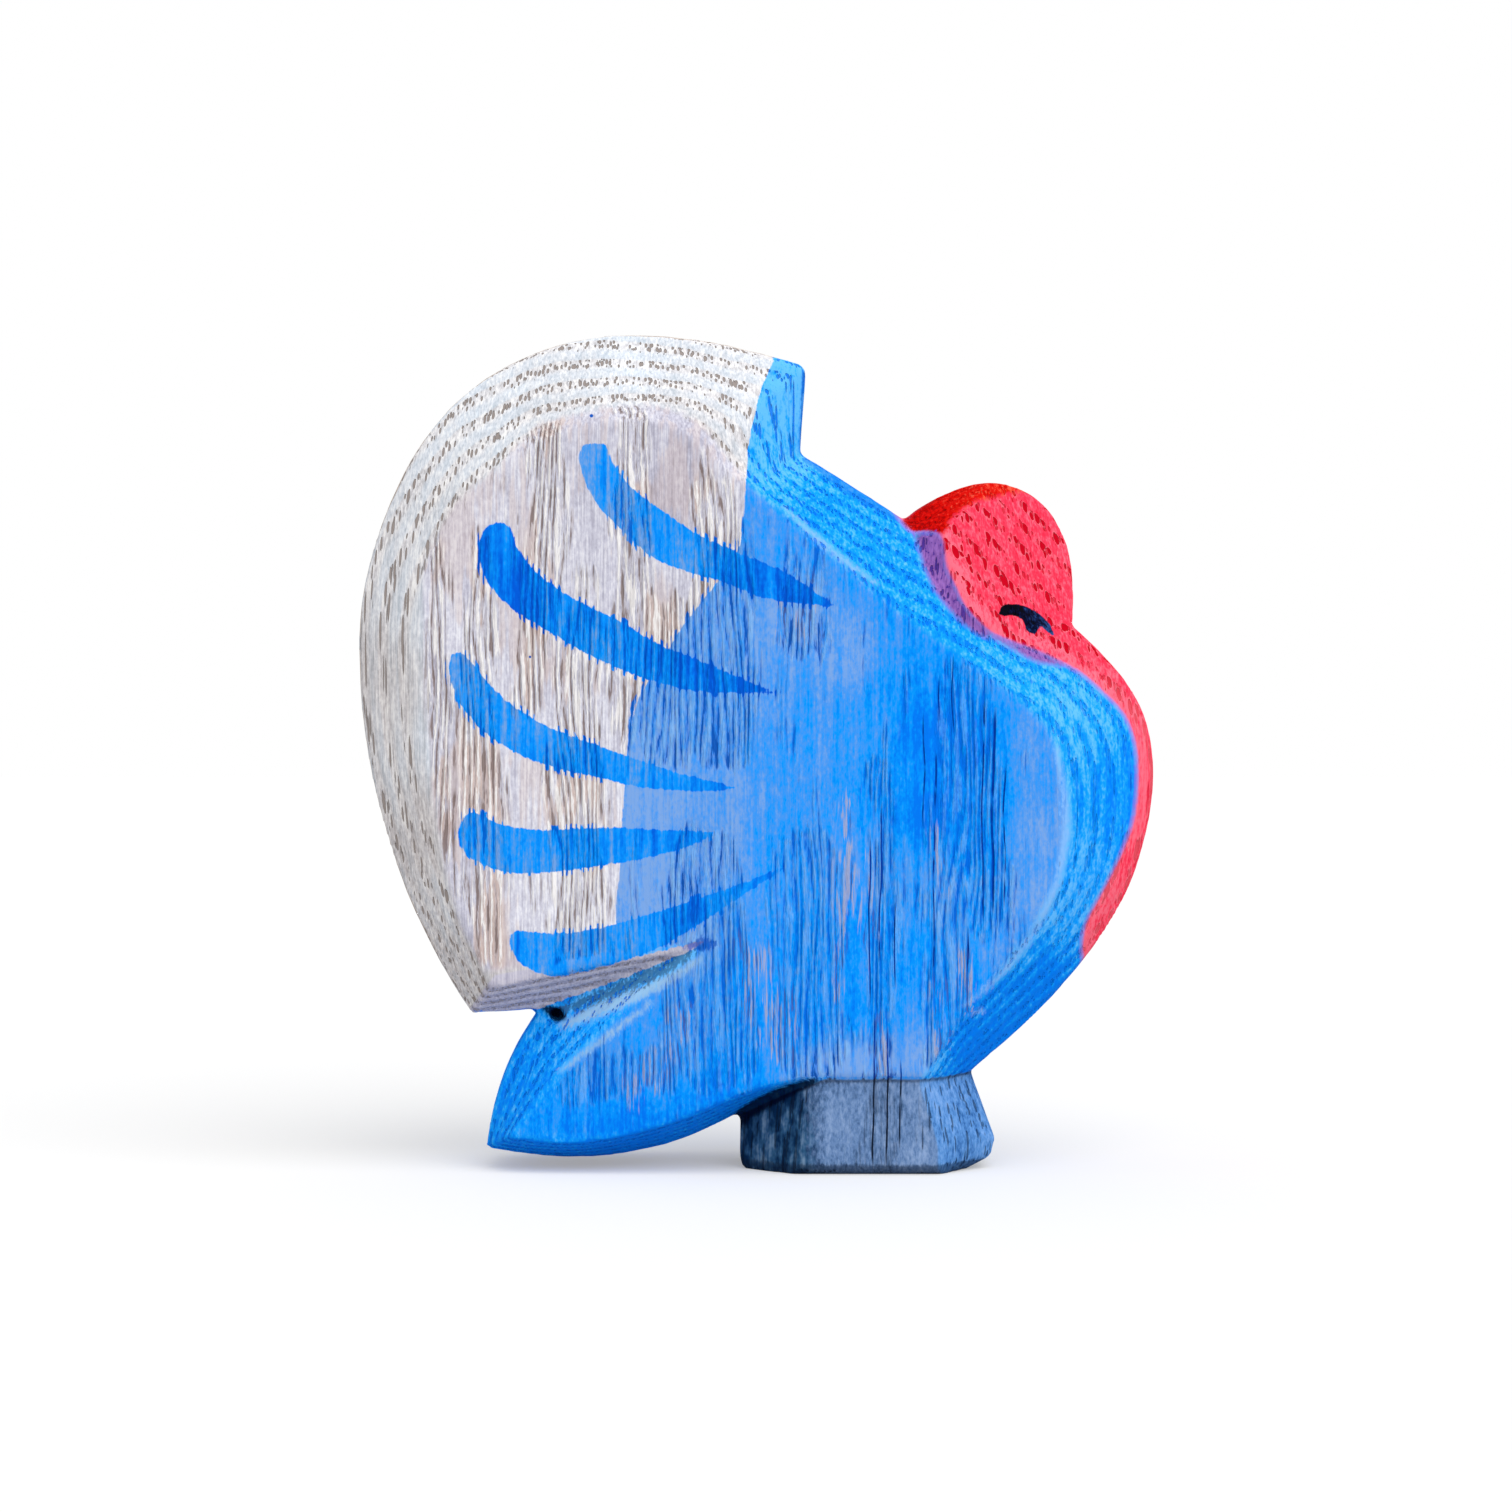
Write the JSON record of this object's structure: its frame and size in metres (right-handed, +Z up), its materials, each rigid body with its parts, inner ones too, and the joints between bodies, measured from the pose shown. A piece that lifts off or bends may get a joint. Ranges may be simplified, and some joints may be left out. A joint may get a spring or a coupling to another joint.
{
  "type": "turkey figure",
  "caption": "Flat standing turkey carved from one board, with a fanned tail over a folded tail, bevelled edges, a domed head and a block foot, painted on bare wood",
  "frame": {"origin": "under the middle of the figure, on the surface that its foot stands on", "axes": "+X towards the breast and head, +Z up, and the two broad carved faces look along -Y and +Y"},
  "size_m": [0.0852, 0.022, 0.0894],
  "materials": {
    "painted_ash": "thin matt water paint, blue, red and grey-blue, brushed over open-grained ash that is left bare on the fanned tail"
  },
  "bodies": {
    "root": {"turkey_figure": "painted_ash"}
  },
  "joints": []
}
